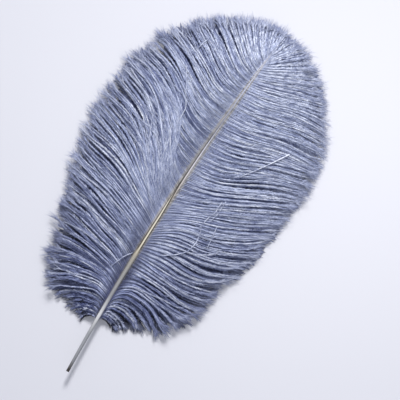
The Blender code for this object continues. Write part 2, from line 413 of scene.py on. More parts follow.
def barb_plans(side, v):
    """The roots of the barbs at v, their plans at a length of 1, and how long the outline lets them be."""
    sign = -1 if side == "left" else 1
    t = VANE_FROM + (1 - VANE_FROM) * v
    leave, middle, end = (along(BARBS[side][name], v)[:, None] for name in ("leave", "middle", "end"))
    u = (np.arange(PATH_STEPS) + 0.5) / PATH_STEPS
    turned = (middle - leave) * smooth(u / MIDDLE_AT)
    turned = turned + (end - middle) * smooth((u - MIDDLE_AT) / (1 - MIDDLE_AT))
    angle = sign * np.radians(leave + turned) - shaft_heading(t)[:, None]
    root = shaft_point(t)[:, :2]
    root[:, 0] += sign * 0.85 * shaft_radius(t)
    steps = np.stack([np.sin(angle), np.cos(angle)], axis=-1) / PATH_STEPS
    low, high = np.zeros(len(v)), np.full(len(v), LONGEST_BARB)
    for _ in range(HALVINGS):
        length = (low + high) / 2
        tip = root + length[:, None] * steps.sum(axis=1)
        inside = np.abs(tip[:, 0] - START_X) < vane_width(side, tip[:, 1])
        inside &= tip[:, 1] < START_Y + SHAFT_SPAN + TIP_REACH
        low, high = np.where(inside, length, low), np.where(inside, high, length)
    return root, angle, low


def skin_height(v, u):
    """The vane's upper skin, at the share u of the way along the barb at v."""
    t = VANE_FROM + (1 - VANE_FROM) * v
    at_shaft = shaft_point(t)[..., 2] + ROOT_HEIGHT * shaft_radius(t)
    fade = CROWN_FADE * smooth((v - CROWN_FADES_FROM) / (1 - CROWN_FADES_FROM))
    crown = CROWN * smooth(v / CROWN_FULL_BY) * (1 - fade)
    return at_shaft + (EDGE_HEIGHT - at_shaft) * smooth(u) + crown * np.sin(math.pi * u**CROWN_SKEW)


def barb_places(side, count):
    """Where along the vane each barb grows, so that no stretch of them leaves a wide gap."""
    v = np.linspace(0, 1, 400)
    root, angle, length = barb_plans(side, v)
    steps = np.stack([np.sin(angle), np.cos(angle)], axis=-1) / PATH_STEPS
    points = root[:, None] + length[:, None, None] * np.cumsum(steps, axis=1)
    apart = np.linalg.norm(np.diff(points, axis=0), axis=-1)[:, PATH_STEPS // 3 :].max(axis=1)
    share = ROOT_SPREAD / (len(v) - 1) + (1 - ROOT_SPREAD) * apart / apart.sum()
    total = np.concatenate([[0], np.cumsum(share)])
    return np.interp(np.linspace(0, 1, count), total / total[-1], v)


def drift(rng, across, out, cells_across, cells_out):
    """Smooth noise from -1 to 1, read at shares across the barbs and out along them."""
    grid = rng.uniform(-1, 1, (cells_across + 2, cells_out + 2))
    x, y = across * cells_across, out * cells_out
    i, j = np.floor(x).astype(int), np.floor(y).astype(int)
    fx, fy = smooth(x - i), smooth(y - j)
    near = grid[i, j] * (1 - fx) + grid[i + 1, j] * fx
    far = grid[i, j + 1] * (1 - fx) + grid[i + 1, j + 1] * fx
    return near * (1 - fy) + far * fy


def grouped(rng, v, sizes):
    """Puts neighbouring barbs into locks, larger ones at the base of the vane: each barb's lock, and its
    place across it from -1 to 1."""
    lock, place = [], []
    count = len(v)
    while len(lock) < count:
        size = int(rng.choice(sizes)) + (BASE_EXTRA if v[len(lock)] < BASE_SHARE_V and max(sizes) > 1 else 0)
        lock += [lock[-1] + 1 if lock else 0] * size
        place += list((np.arange(size) + 0.5) / size * 2 - 1)
    return np.array(lock[:count]), np.array(place[:count])


def grow_layer(side, name, rng):
    """One layer of a vane's barbs: their centre lines, lengths, places and tones."""
    habit = LAYERS[name]
    sign = -1 if side == "left" else 1
    count = habit["barbs"]
    if "between" in habit:
        v = np.linspace(*habit["between"], count)
    else:
        count = round(count * MORE_BARBS[side])
        v = barb_places(side, count)
    root, angle, length = barb_plans(side, v)
    lock, place = grouped(rng, v, [max(1, size - LOCK_LESS[side]) for size in habit["locks"]])
    locks = lock[-1] + 1

    def by_lock(low, high):
        return rng.uniform(low, high, locks)[lock]

    def spread(u):
        across, out = np.meshgrid(np.arange(count) / max(count - 1, 1), u, indexing="ij")
        return across, out, np.repeat(((lock + 0.5) / locks)[:, None], len(u), axis=1)

    def waves(kind, x, cells, share=1):
        degrees, times, soon = kind
        return degrees * share * drift(rng, x, out, cells, times) * out**soon

    u = np.linspace(0, 1, PATH_STEPS + 1)
    across, out, lane = spread((u[1:] + u[:-1]) / 2)
    low, high = habit["lengths"]
    longer = low + by_lock(0, high - low) * LOCKS_LENGTH
    length = length * (longer + rng.uniform(0, high - low, count) * (1 - LOCKS_LENGTH))
    length *= 1 + SCALLOP * drift(rng, v.clip(0, 1), 0 * v, SCALLOPS, 1)
    length *= np.interp(v, *SHORT_AT_BASE)
    base = 1 - smooth(v / BASE_SHARE_V)
    length *= 1 - TUFTS_SHORTER * base * by_lock(0, 1)
    rough = 1 + BASE_ROUGHNESS * base[:, None]
    wander = LOCKS_WANDER[side] + (1 - LOCKS_WANDER[side]) * base
    turned = waves(VANE_WAVE, across, VANE_WAVES)
    turned += waves(GROUP_WAVE, across, max(locks // GROUP_LOCKS, 1)) * rough
    turned += waves(LOCK_WAVE, lane, locks, wander[:, None]) * rough
    own = wander * by_lock(-habit["wander"], habit["wander"])
    own = own + rng.uniform(-STRAGGLE[side], STRAGGLE[side], count)
    flick = by_lock(0, 1) ** 2 * FLICK
    ahead = np.interp(out, (0, AHEAD_AT, 1), (0, *habit.get("ahead", (0, 0))))
    angle = angle + np.radians(turned + own[:, None] * out)
    angle -= sign * np.radians(ahead + flick[:, None] * at_end(out, FLICK_OVER))
    step = np.stack([np.sin(angle), np.cos(angle)], axis=-1) * (length / PATH_STEPS)[:, None, None]
    plan = root[:, None] + np.concatenate([np.zeros((count, 1, 2)), np.cumsum(step, axis=1)], axis=1)
    across, out, lane = spread(u)
    # Here and there two locks part along their border, and a slit shows what lies underneath
    border, run = np.meshgrid(np.arange(locks + 1) / locks, u, indexing="ij")
    parted = 0.5 + 0.5 * drift(rng, border, run, locks, SLITS_ALONG)
    parted = parted + SLITS_GATHER * drift(rng, border, run, *GATHERINGS)
    border_v = np.append(v[np.flatnonzero(np.diff(lock, prepend=-1))], v[-1])
    slit_from = along(SLIT_FROM[side], border_v.clip(0, 1))[:, None]
    parted = ALWAYS_PARTED + (1 - ALWAYS_PARTED) * smooth((parted - slit_from) / SLIT_SOFTNESS)
    parted *= smooth((run - SLIT_ROOT[0]) / SLIT_ROOT[1]) * smooth((1 - run) / SLIT_END)
    over = np.gradient(plan, axis=0)
    half = np.linalg.norm(over, axis=-1, keepdims=True) * (np.bincount(lock)[lock] / 2)[:, None, None]
    share = parted[lock] * (1 - place[:, None]) / 2 - parted[lock + 1] * (1 + place[:, None]) / 2
    aside = np.minimum(habit["part"] * SLIT_WIDTH[side], SLIT_SQUEEZE * half)
    plan = plan + unit(over) * aside * share[..., None]
    # The barbs of a lock draw together at their ends, and in tufts at the base of the vane
    middle = np.zeros((locks, PATH_STEPS + 1, 2))
    np.add.at(middle, lock, plan)
    middle /= np.bincount(lock)[:, None, None]
    pull = ENDS_MEET * SLIT_WIDTH[side] * at_end(out, ENDS)
    pull = pull + TUFTS * base[:, None] * smooth((out - TUFT_FROM) / TUFT_OVER)
    pull *= by_lock(0, 1)[:, None]
    plan += (middle[lock] - plan) * pull[..., None]
    ridge = 1 - place**2
    level = habit.get("level", 1) * skin_height(v.clip(0, 1)[:, None], u) + smooth(out / RISE_OVER) * (
        (RIDGE * ridge + by_lock(-LOCK_LEVEL, LOCK_LEVEL))[:, None]
        + PAIR_SWELL[0] * drift(rng, across, out, max(locks // 2, 1), PAIR_SWELL[1])
        + LOCK_SWELL[0] * drift(rng, lane, out, locks, LOCK_SWELL[1])
    )
    if name == "top":
        level += ENDS_CURL * at_end(out, ENDS) * (by_lock(0, 1) ** 3)[:, None]
        level += BASE_PUFF * smooth(out / PUFF_OVER) * base[:, None]
    t = VANE_FROM + (1 - VANE_FROM) * v[:, None]
    on_shaft = DEEP_ROOT if name in ("bed", "under") else ROOT_HEIGHT
    at_root = shaft_point(t)[..., 2] + on_shaft * shaft_radius(t)
    height = at_root + (level - at_root) * smooth(out / ROOT_OVER)
    # Painted light and shade: a barb's tone is paler the nearer it lies to its lock's crest, plus chance
    tone = RIDGE_PAINTED_LIGHT * ridge + by_lock(-LOCK_TONE, LOCK_TONE) + rng.uniform(-BARB_TONE, BARB_TONE, count)
    return {
        "points": np.concatenate([plan, np.maximum(height, BARB_CLEARANCE)[..., None]], axis=-1),
        "length": length,
        "v": v,
        "layer": np.full(count, LAYER_NAMES.index(name)),
        "tone": tone,
        "stem": habit["stem"] * np.where(tone > np.median(tone), 1, THIN_STEM),
    }


def laid_across(side, rng):
    """The single barbs that lie on given plans across the others."""
    u = np.linspace(0, 1, PATH_STEPS + 1)
    plans = []
    for _, *places in ACROSS[side]:
        x, y = np.array(places).T
        share = np.concatenate([[0], np.cumsum(np.hypot(np.diff(x), np.diff(y)))])
        share /= share[-1]
        way = [START_X + along(list(zip(share, x)), u), START_Y + along(list(zip(share, y)), u)]
        plans.append(np.stack(way + [0 * u], axis=-1))
    points = np.array(plans)
    return {
        "points": points,
        "length": np.linalg.norm(np.diff(points, axis=1), axis=-1).sum(axis=1),
        "v": ((points[:, 0, 1] - START_Y) / SHAFT_SPAN - VANE_FROM) / (1 - VANE_FROM),
        "layer": np.full(len(points), LAYER_NAMES.index("stray")),
        "tone": rng.uniform(0, 1, len(points)),
        "stem": np.array([width for width, *_ in ACROSS[side]]),
    }


def rest(barbs, below):
    """Lays barbs on the ones below them: at the mean height of the nearest points, and a lift."""
    ground = below["points"].reshape(-1, 3)
    lift = LAYERS[LAYER_NAMES[barbs["layer"][0]]]["lift"]
    rise = lift * (2 * smooth(np.linspace(0, 1, PATH_STEPS + 1) / RISE_OVER) - 1)
    for points in barbs["points"]:
        apart = ((points[:, None, :2] - ground[None, :, :2]) ** 2).sum(axis=-1)
        near = np.argpartition(apart, NEAREST, axis=1)[:, :NEAREST]
        points[:, 2] = ground[near, 2].mean(axis=1) + rise


def template(bm):
    """A small shape's points and triangles, to be laid many times over."""
    bmesh.ops.triangulate(bm, faces=bm.faces[:])
    bm.verts.index_update()
    points = np.array([vert.co for vert in bm.verts])
    faces = np.array([[vert.index for vert in face.verts] for face in bm.faces])
    bm.free()
    return points, faces


def rod_template(steps):
    """A three-sided rod of radius 1 along Z from 0 to 1, drawn to a point at its far end."""
    bm = bmesh.new()
    bmesh.ops.create_grid(bm, x_segments=3, y_segments=steps, size=1)
    for vert in bm.verts:
        turn, rise = math.pi * vert.co.x, (vert.co.y + 1) / 2
        radius = 0 if rise > 1 - 0.5 / steps else 1
        vert.co = (-radius * math.sin(turn), -radius * math.cos(turn), rise)
    bmesh.ops.remove_doubles(bm, verts=bm.verts[:], dist=0.1 / steps)
    return template(bm)


def barbule_template():
    """A flat sliver of length 1 along Y, widest before its middle, where it can bend."""
    bm = bmesh.new()
    bmesh.ops.create_circle(bm, cap_ends=True, segments=4, radius=1)
    sides = [vert for vert in bm.verts if abs(vert.co.x) > 0.5]
    bmesh.ops.connect_verts(bm, verts=sides)
    for vert in bm.verts:
        vert.co = (vert.co.x / 2, ((vert.co.y + 1) / 2) ** BARBULE_SKEW, 0)
    bmesh.ops.recalc_face_normals(bm, faces=bm.faces)
    if bm.faces[:][0].normal.z < 0:
        bmesh.ops.reverse_faces(bm, faces=bm.faces[:])
    return template(bm)


def directions(points):
    """At each point of the barbs, the unit vectors along it, to its right and up."""
    way = unit(np.gradient(points, axis=1))
    right = unit(np.cross(way, (0, 0, 1)))
    return way, right, np.cross(right, way)


def laid(points, places, faces, barb):
    """Many copies of a template as one block: their points, map places, triangles and barbs."""
    copies, size = points.shape[:2]
    triangles = (faces[None] + size * np.arange(copies)[:, None, None]).reshape(-1, 3)
    return points.reshape(-1, 3), places.reshape(-1, 2), triangles, np.repeat(barb, size)


def rods(paths, root_width, from_u, barb):
    """Thin rods along paths. On the map they run from from_u to the end of their bands."""
    steps = paths.shape[1] - 1
    shape, faces = rod_template(steps)
    rise = shape[:, 2]
    ring = np.round(rise * steps).astype(int)
    _, right, up = directions(paths)
    radius = STEM_TIP_WIDTH + (root_width[:, None] - STEM_TIP_WIDTH) * (1 - rise) ** STEM_TAPER
    radius = radius[..., None] / 2
    radius = radius * np.where(ring == 0, ROOT_FLARE, 1.0)[:, None] if from_u == 0 else radius
    points = paths[:, ring] + radius * (right[:, ring] * shape[:, :1] + up[:, ring] * shape[:, 1:2])
    places = np.stack([from_u + (1 - from_u) * rise, STEM_HALF * shape[:, 0]], axis=-1)
    return laid(points, np.repeat(places[None], len(paths), axis=0), faces, barb)


def hairs(barbs, rng):
    """The long bare hairs in which some of the top barbs end."""
    top = np.flatnonzero(barbs["layer"] == LAYER_NAMES.index("top"))
    barb = top[rng.uniform(size=len(top)) < LONG_HAIRS]
    count = len(barb)
    way = barbs["points"][barb, -1] - barbs["points"][barb, -3]
    turn = np.arctan2(way[:, 0], way[:, 1]) + np.radians(rng.normal(0, HAIR_TURN, count))
    share = (np.arange(HAIR_STEPS) + 0.5) / HAIR_STEPS
    angle = turn[:, None] + np.radians(rng.normal(0, HAIR_BEND, count))[:, None] * share
    length = rng.uniform(*LONG_HAIR, count)
    rise = rng.uniform(*HAIR_RISE, count)[:, None] * np.ones(HAIR_STEPS)
    moves = np.stack([np.sin(angle), np.cos(angle), rise], axis=-1) * (length / HAIR_STEPS)[:, None, None]
    starts = barbs["points"][barb, -2][:, None]
    paths = starts + np.concatenate([np.zeros((count, 1, 3)), np.cumsum(moves, axis=1)], axis=1)
    paths[..., 2] = np.maximum(paths[..., 2], HAIR_CLEARANCE)
    return rods(paths, np.full(count, HAIR_WIDTH), HAIR_U, barb)


def slivers(barbs, barb, u, size, lean, width, rng):
    """Barbules on the given barbs, at u along them, on both sides and drooping from the stem."""
    shape, faces = barbule_template()
    count = len(barb)
    hand = np.where(rng.uniform(size=count) < 0.5, -1.0, 1.0)[:, None]
    i = np.minimum((u * PATH_STEPS).astype(int), PATH_STEPS - 1)
    f = (u * PATH_STEPS - i)[:, None]
    root = barbs["points"][barb, i] * (1 - f) + barbs["points"][barb, i + 1] * f
    way, right, up = (d[barb, i] * (1 - f) + d[barb, i + 1] * f for d in directions(barbs["points"]))
    size, lean = size[:, None], np.radians(lean)[:, None]
    rise = rng.normal(*BARBULE_RISE, count)[:, None]
    away = unit(way * np.cos(lean) + right * hand * np.sin(lean) + up * rise)
    onward = BARBULE_ONWARD * size * way
    droop = rng.uniform(*BARBULE_DROOP, count)[:, None] * size * up
    flat = unit(np.cross(away, up))
    roll = rng.normal(0, BARBULE_ROLL, count)[:, None]
    wide = width * (flat * np.cos(roll) + np.cross(flat, away) * np.sin(roll))
    run = shape[:, 1][None, :, None]
    points = root[:, None] + (size * away)[:, None] * run + (onward - droop)[:, None] * run**2
    points += wide[:, None] * shape[:, 0][None, :, None]
    points[..., 2] = np.maximum(points[..., 2], TABLE_CLEARANCE)
    places = np.empty((count, len(shape), 2))
    places[..., 0] = u[:, None] + shape[:, 0] * (width / barbs["length"][barb])[:, None]
    places[..., 1] = hand * (BARBULE_FROM + (1 - BARBULE_FROM) * shape[:, 1])
    return laid(points, places, faces, barb)


def barbules(barbs, rng, name):
    """The barbules of one layer's barbs: short beside the shaft, and lying closer towards the barb's tip."""
    habit = LAYERS[name]
    chosen = np.flatnonzero(barbs["layer"] == LAYER_NAMES.index(name))
    barb = np.repeat(chosen, np.round(barbs["length"][chosen] * habit["barbules"] * 1000).astype(int))
    count = len(barb)
    bare = BARE_ROOT / barbs["length"][barb]
    u = bare + (LAST_U - bare) * rng.uniform(size=count)
    end = at_end(u, NEAR_TIP)
    size = habit["reach"] * rng.uniform(*BARBULE_SIZES, count)
    size *= AT_SHAFT + (1 - AT_SHAFT) * smooth(u / AT_SHAFT_OVER)
    size *= (1 + FULLER * smooth((u - FULLER_FROM) / FULLER_OVER)) * (1 - TIP_SHORTER * end**3)
    lean = rng.normal(habit["lean"], BARBULE_LEAN, count) * (1 - TIP_CLOSER * end)
    return slivers(barbs, barb, u, size, lean, habit["width"], rng)


def brushes(barbs, rng):
    """The fine slivers in which the top barbs end."""
    barb = np.repeat(np.flatnonzero(barbs["layer"] == LAYER_NAMES.index("top")), BRUSH)
    count = len(barb)
    u = rng.uniform(BRUSH_FROM, LAST_U, count)
    size, lean = rng.uniform(*BRUSH_REACH, count), rng.uniform(0, BRUSH_LEAN, count)
    return slivers(barbs, barb, u, size, lean, BRUSH_WIDTH, rng)


def joined(name, blocks, band):
    """One object from blocks. On its map each barb is a band, root to tip along U."""
    starts = np.cumsum([0] + [len(block[0]) for block in blocks])
    points = np.concatenate([block[0] for block in blocks])
    places = np.concatenate([block[1] for block in blocks])
    faces = np.concatenate([block[2] + start for block, start in zip(blocks, starts)])
    barb = np.concatenate([block[3] for block in blocks])
    u = MAP_MARGIN + (1 - 2 * MAP_MARGIN) * places[:, 0].clip(0, 1)
    v = (band[barb] + 0.5 + BAND_HALF * places[:, 1]) / BANDS
    mesh = bpy.data.meshes.new(name)
    mesh.from_pydata(points, [], faces)
    mesh.shade_smooth()
    uv = np.stack([u, v], axis=1)[faces].astype(np.float32)
    mesh.uv_layers.new(name="OFBake").data.foreach_set("uv", uv.ravel())
    return placed(name, mesh)


def placed(name, data):
    """A new object in the scene."""
    made = bpy.data.objects.new(name, data)
    bpy.context.scene.collection.objects.link(made)
    return made


def bands_of(barbs):
    """A band of the map for each barb of a piece: deep shades low on the map and pale ones high."""
    wanted = np.empty(len(barbs["v"]))
    for number, name in enumerate(LAYER_NAMES):
        chosen = np.flatnonzero(barbs["layer"] == number)
        low, high = LAYERS[name]["shades"]
        rank = np.argsort(np.argsort(barbs["tone"][chosen]))
        wanted[chosen] = low + (high - low) * (rank + 0.5) / max(len(chosen), 1)
    order = np.argsort(wanted)
    spare = BANDS - len(wanted)
    band = np.empty(len(wanted), int)
    band[order] = np.arange(len(wanted)) + np.round(spare * wanted[order]).astype(int)
    return band


def build_vane(side, finish):
    """The barbs of one vane, as three joined meshes from its base to its tip."""
    rng = np.random.default_rng(SEED + (side == "left"))
    layers = [grow_layer(side, name, rng) for name in GROWN[side]] + [laid_across(side, rng)]
    for layer in layers:
        if "lift" in LAYERS[LAYER_NAMES[layer["layer"][0]]]:
            rest(layer, layers[GROWN[side].index("top")])
    barbs = {name: np.concatenate([layer[name] for layer in layers]) for name in layers[0]}
    part = np.searchsorted(np.quantile(barbs["v"], SPLIT_AT), barbs["v"])
    for number, place in enumerate(("base", "middle", "tip")):
        here = {name: values[part == number] for name, values in barbs.items()}
        deep = here["layer"] <= LAYER_NAMES.index("under")
        seen, hidden = np.flatnonzero(~deep), np.flatnonzero(deep)
        blocks = [rods(here["points"][seen], here["stem"][seen], 0.0, seen)]
        blocks += [rods(here["points"][hidden, ::HIDDEN_STEPS], here["stem"][hidden], 0.0, hidden)]
        blocks += [hairs(here, rng), brushes(here, rng)]
        blocks += [barbules(here, rng, name) for name in LAYERS]
        made = joined(f"{side}_barbs_{place}", blocks, bands_of(here))
        made.data.materials.append(finish)
        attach(made, "root")
        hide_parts(f"{side}_vane")


def shaft_surface(t, angle):
    """How far the shaft's surface is from its axis, at an angle in degrees from its top."""
    power = ROUND + (SQUARE - ROUND) * smooth((t - VANE_FROM) / SQUARE_RAMP)
    c, s = abs(math.cos(math.radians(angle))), abs(math.sin(math.radians(angle)))
    reach = 1 / (c**power + s**power) ** (1 / power)
    apart = GROOVES_APART * (1 - ramp(t, GROOVES_CLOSE_FROM, GROOVES_MEET))
    lean = GROOVES_LEAN * ramp(t, *LEAN_IN) * (1 - ramp(t, *LEAN_OUT))
    started = smooth((t - GROOVES_FROM) / GROOVES_DEEP_OVER)
    notch = max(0.0, 1 - abs(abs(angle + lean) - apart) / GROOVE_HALF_ANGLE)
    return float(shaft_radius(t) * (reach - GROOVE_DEPTH * started * smooth(notch)))


def build_shaft(finish):
    """A grid wrapped round the shaft, from the floor of its hollow over the cut rim to the tip."""
    floor = LUMEN_DEPTH / SHAFT_SPAN
    cut = [(floor, 0.0), (floor, LUMEN_RADIUS), (MOUTH_DEPTH, LUMEN_RADIUS)]
    cut += [(0.0, LUMEN_RADIUS * LUMEN_FLARE), (0.0, CUT_RADIUS * CUT_EDGE)]
    rows = SHAFT_ROWS + len(cut)
    bm = bmesh.new()
    uv = bm.loops.layers.uv.new("OFBake")
    bmesh.ops.create_grid(bm, x_segments=SHAFT_SIDES, y_segments=rows, size=1, calc_uvs=True)
    v_of_row = []
    for row in range(rows + 1):
        if row < len(cut):
            v_of_row.append(LUMEN_SHARE * row / len(cut))
        else:
            v_of_row.append(LUMEN_SHARE + (1 - LUMEN_SHARE) * (row - len(cut)) / SHAFT_ROWS)
    for face in bm.faces:
        for loop in face.loops:
            loop[uv].uv.y = v_of_row[round(loop[uv].uv.y * rows)]
    for vert in bm.verts:
        angle, row = 180 * vert.co.x, round((vert.co.y + 1) / 2 * rows)
        if row < len(cut):
            t, reach = cut[row]
        else:
            t = (row - len(cut)) / SHAFT_ROWS
            reach = shaft_surface(t, angle) if row < rows else 0.0
        turn = shaft_heading(t)
        flatness = 1 + (RACHIS_FLATNESS - 1) * smooth((t - VANE_FROM) / SQUARE_RAMP)
        side = reach * math.sin(math.radians(angle))
        up = reach * flatness * math.cos(math.radians(angle))
        vert.co = Vector(shaft_point(t)) + Vector((side * math.cos(turn), side * math.sin(turn), up))
    bmesh.ops.remove_doubles(bm, verts=bm.verts[:], dist=MERGED)
    bmesh.ops.recalc_face_normals(bm, faces=bm.faces)
    mesh = bpy.data.meshes.new("shaft_surface")
    bm.to_mesh(mesh)
    bm.free()
    mesh.shade_smooth()
    mesh.set_sharp_from_angle(angle=math.radians(SHARP_FROM))
    made = placed("shaft_surface", mesh)
    mesh.materials.append(finish)
    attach(made, "root")
    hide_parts("shaft")


def linear(hex_colour):
    """An sRGB hex colour as linear red, green, blue and alpha."""
    channels = [int(hex_colour[i : i + 2], 16) / 255 for i in (0, 2, 4)]
    return tuple(c / 12.92 if c <= 0.04045 else ((c + 0.055) / 1.055) ** 2.4 for c in channels) + (1.0,)


def node(tree, kind, inputs=(), out=0, stops=(), **settings):
    """Adds a shader node and returns one of its outputs. Inputs go by name or number, and are values or
    what is linked. Settings are its properties, and stops a colour ramp's places and hex colours."""
    made = tree.nodes.new("ShaderNode" + kind)
    for name, value in settings.items():
        setattr(made, name, value)
    for socket, value in dict(inputs).items():
        if isinstance(value, bpy.types.NodeSocket):
            tree.links.new(value, made.inputs[socket])
        else:
            made.inputs[socket].default_value = value
    for i, (place, colour) in enumerate(stops):
        elements = made.color_ramp.elements
        element = elements[i] if i < 2 else elements.new(place)
        element.position, element.color = place, linear(colour)
    return made.outputs[out]


# Sockets that go by number: two values of a maths node, and a colour mix's share, two colours and result
FIRST, SECOND = 0, 1
SHARE, UNDER, OVER, MIXED = 0, 6, 7, 2
KERATIN_IOR = 1.54


def started_material(name):
    """A material, its tree and shader, and its piece's map with its two directions."""
    made = bpy.data.materials.new(name)
    made.use_nodes = True
    tree = made.node_tree
    uv = node(tree, "UVMap", uv_map="OFBake")
    u = node(tree, "SeparateXYZ", {0: uv})
    return made, tree, tree.nodes["Principled BSDF"], uv, u, u.node.outputs[1]


def dyed_down():
    """Acid-dyed ostrich down: matt and silky. The barbs that lie underneath, which are low on the map, are
    painted deep as shade, and the lower, fluffier part of the plume is painted darker, as shade. Along each
    barb pale stretches come and go, the ends of its barbules are painted darker than the stem, as shade,
    and its tip is greyer. Near the tip on the right it is painted paler, as a pool of light, and at the
    foot of the vane the down beside the shaft is painted darker, as shade."""
    made, tree, shader, uv, u, v = started_material("acid_dyed_ostrich_down")
    # Painted shade: the stops up to about 0.22 colour the barbs that lie underneath, as deep as the shade
    # they lie in, and the base's stops below are darker still, as shade
    light = [(0.0, "2A3358"), (0.2, "465078"), (0.26, "8790B4"), (0.5, "D0D8EE"), (0.75, "ECF1FD")]
    shaded_base_stops = [(0.0, "050A1C"), (0.2, "10172F"), (0.3, "1C2448"), (0.55, "6C75A0"), (0.8, "BAC2E2")]
    colour = node(tree, "ValToRGB", {0: v}, stops=light + [(1.0, "FBFDFF")])
    deep = node(tree, "ValToRGB", {0: v}, stops=shaded_base_stops + [(1.0, "FAFCFF")])
    place = node(tree, "TexCoord", out=3)
    height = node(tree, "SeparateXYZ", {0: place}, out=1)
    painted_light_pool = node(tree, "VectorMath", {0: place, 1: (1.0, 1.0, 0.0)}, out=1, operation="DOT_PRODUCT")
    # Along a barb of about 110 mm a pale stretch is 10 mm long, and each band of the map has its own
    spread = node(tree, "Mapping", {"Vector": uv, "Scale": (11.0, BANDS * 0.9, 1.0)})
    inputs = {"Vector": spread, "Scale": 1.0, "Detail": 3.0}
    patches = node(tree, "TexNoise", inputs, noise_dimensions="2D")
    patches = node(tree, "ValToRGB", {0: patches}, stops=((0.34, "A4A9BD"), (0.64, "FFFFFF")))
    # Across a band, the stem is in the middle and the barbules' ends are at both sides
    band = v
    for what, number in (("MULTIPLY", BANDS), ("FRACT", 0.0), ("SUBTRACT", 0.5), ("ABSOLUTE", 0.0)):
        band = node(tree, "Math", {FIRST: band, SECOND: number}, operation=what)
    # Shares of the colours below, each with the inputs of its Map Range in order: what it follows, from
    # and to which value of it, and the shares there
    shares = {
        "lower": (height, -0.12, 0.03, 1.0, 0.0, "SMOOTHSTEP"),
        "off_corner": (painted_light_pool, 0.05, 0.2, 1.0, 0.0, "SMOOTHSTEP"),
        "painted_light_pool": (painted_light_pool, 0.11, 0.18, 0.0, 0.45, "LINEAR"),
        "ends": (band, 0.08, 0.46, 0.0, 1.0, "LINEAR"),
        "close": (u, 0.03, 0.25, 0.45, 0.0, "LINEAR"),
        "root": (u, 0.02, 0.035, 0.75, 0.0, "LINEAR"),
        "painted_foot_shade": (u, 0.03, 0.17, 0.9, 0.0, "SMOOTHSTEP"),
        "tip": (u, 0.78, 0.98, 0.0, 0.45, "LINEAR"),
    }
    for name, (*inputs, run) in shares.items():
        shares[name] = node(tree, "MapRange", enumerate(inputs), interpolation_type=run)
    painted_foot_shade = node(tree, "Math", {FIRST: shares["painted_foot_shade"], SECOND: shares["lower"]}, operation="MULTIPLY")
    for share, over, how in (
        # Painted shade: towards the base the colours turn to the darker stops, for the deeper shade of the
        # lower, fluffier part
        (shares["lower"], deep, "MIX"),
        # Painted light: the plume is painted paler towards the right near the tip, as a pool of light, and a
        # little darker elsewhere
        (shares["off_corner"], linear("E9EBF2"), "MULTIPLY"),
        (shares["painted_light_pool"], linear("E0E7FA"), "MIX"),
        (1.0, patches, "MULTIPLY"),
        # Painted shade: the barbules' ends, at the sides of each band, are darkened for the shade between the
        # strands
        (shares["ends"], linear("8E95B2"), "MULTIPLY"),
        # Beside the shaft the barbules lie so close that the strands hardly show
        (shares["close"], linear("A4ACCA"), "MIX"),
        # The barb is bare where it joins the shaft
        (shares["root"], linear("B9B2A6"), "MIX"),
        # Painted shade: at the foot of the vane the down beside the shaft is darkened
        (painted_foot_shade, linear("464E7C"), "MULTIPLY"),
        (shares["tip"], linear("888EA8"), "MIX"),
    ):
        inputs = {SHARE: share, UNDER: colour, OVER: over}
        colour = node(tree, "Mix", inputs, MIXED, data_type="RGBA", blend_type=how)
    tree.links.new(colour, shader.inputs["Base Color"])
    finish = {"Roughness": 0.6, "Specular IOR Level": 0.3, "Sheen Weight": 0.15, "Sheen Roughness": 0.5}
    for name, value in finish.items():
        shader.inputs[name].default_value = value
    shader.inputs["IOR"].default_value = KERATIN_IOR
    return made


